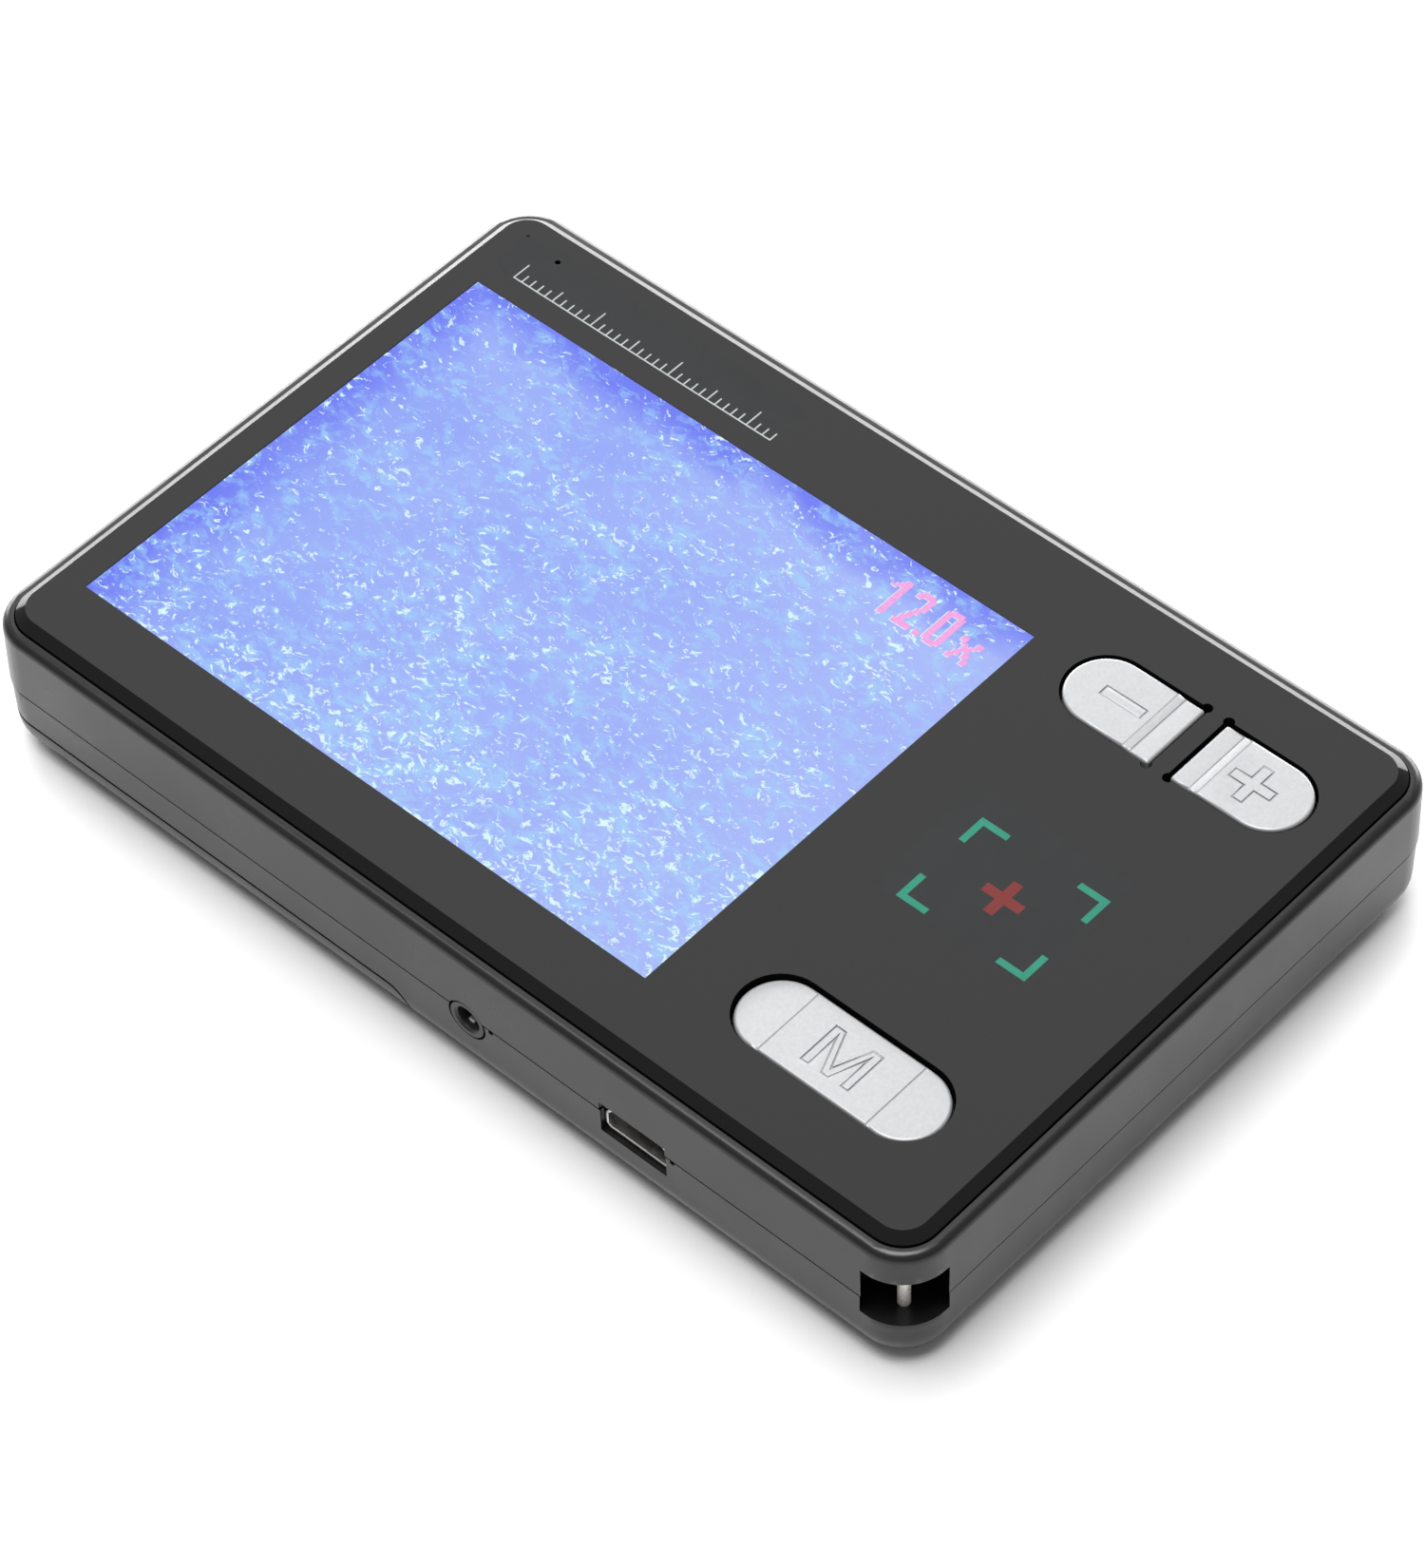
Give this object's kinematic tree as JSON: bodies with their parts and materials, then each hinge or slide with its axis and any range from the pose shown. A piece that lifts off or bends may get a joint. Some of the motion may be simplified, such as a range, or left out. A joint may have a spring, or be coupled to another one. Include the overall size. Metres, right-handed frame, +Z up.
{
  "type": "low vision magnifier",
  "caption": "Flat handheld video magnifier: lit display under a clear front sheet, silver zoom and mode keys, camera window underneath, slide-off battery cover.",
  "frame": {"origin": "middle of the resting face, under the centre of the case", "axes": "+X along the length towards the keys, +Y towards the long edge without sockets, +Z up through the display"},
  "size_m": [0.1124, 0.073, 0.0166],
  "materials": {
    "case_plastic": "black ABS, fine satin moulded texture",
    "clear_acrylic": "clear polished acrylic",
    "black_print": "black screen print",
    "green_print": "green screen print",
    "red_print": "red screen print",
    "foam_tape": "black foam tape",
    "display": "lit display glass",
    "display_tray": "white moulded tray",
    "flex_film": "amber polyimide film",
    "connector_plastic": "ivory plastic",
    "circuit_board": "green solder mask",
    "chip_resin": "black moulding resin",
    "screw_steel": "zinc-plated steel",
    "sensor_face": "sensor cover",
    "black_moulding": "black plastic moulding",
    "optical_glass": "coated lens",
    "clear_window": "clear plastic",
    "led_resin": "phosphor resin",
    "silver_key": "satin silver paint",
    "switch_plastic": "ivory plastic",
    "switch_metal": "stamped steel",
    "battery_skin": "wrapped aluminium can",
    "contact_gold": "gold-plated spring brass",
    "socket_steel": "nickel-plated steel",
    "pin_steel": "bright steel"
  },
  "bodies": {
    "case": {"upper_housing": "case_plastic", "lower_housing": "case_plastic", "front_panel": "clear_acrylic", "panel_print": "black_print", "target_frame_print": "green_print", "target_cross_print": "red_print", "panel_adhesive": "foam_tape", "display_glass": "display", "display_frame": "display_tray", "display_flex": "flex_film", "flex_connector": "connector_plastic", "main_board": "circuit_board", "main_processor": "chip_resin", "board_components": "chip_resin", "board_screws": "screw_steel", "camera_board": "circuit_board", "image_sensor": "sensor_face", "lens_holder": "black_moulding", "lens_barrel": "black_moulding", "camera_lens": "optical_glass", "camera_window": "clear_window", "illumination_leds": "led_resin", "camera_flex": "flex_film", "key_switches": "switch_metal", "battery_pack": "battery_skin", "contact_block": "black_moulding", "battery_contacts": "contact_gold", "jack_body": "black_moulding", "jack_contact": "contact_gold", "usb_shell": "socket_steel", "usb_insulator": "black_moulding", "usb_contacts": "contact_gold", "lanyard_pin": "pin_steel", "status_led": "led_resin", "light_pipe": "clear_window", "housing_screws": "screw_steel"},
    "cover": {"battery_cover": "case_plastic"},
    "minus_button": {"minus_key": "silver_key", "minus_switch_stem": "switch_plastic"},
    "plus_button": {"plus_key": "silver_key", "plus_switch_stem": "switch_plastic"},
    "mode_button": {"mode_key": "silver_key", "mode_switch_stem": "switch_plastic"}
  },
  "joints": [
    {"name": "cover_slide", "type": "slide", "parent": "case", "child": "cover", "axis": [-1, 0, 0], "range_m": [0, 0.015]},
    {"name": "minus_press", "type": "slide", "parent": "case", "child": "minus_button", "axis": [0, 0, -1], "range_m": [0, 0.0004], "stiffness_N_per_m": 1500},
    {"name": "plus_press", "type": "slide", "parent": "case", "child": "plus_button", "axis": [0, 0, -1], "range_m": [0, 0.0004], "stiffness_N_per_m": 1500},
    {"name": "mode_press", "type": "slide", "parent": "case", "child": "mode_button", "axis": [0, 0, -1], "range_m": [0, 0.0004], "stiffness_N_per_m": 1500}
  ]
}
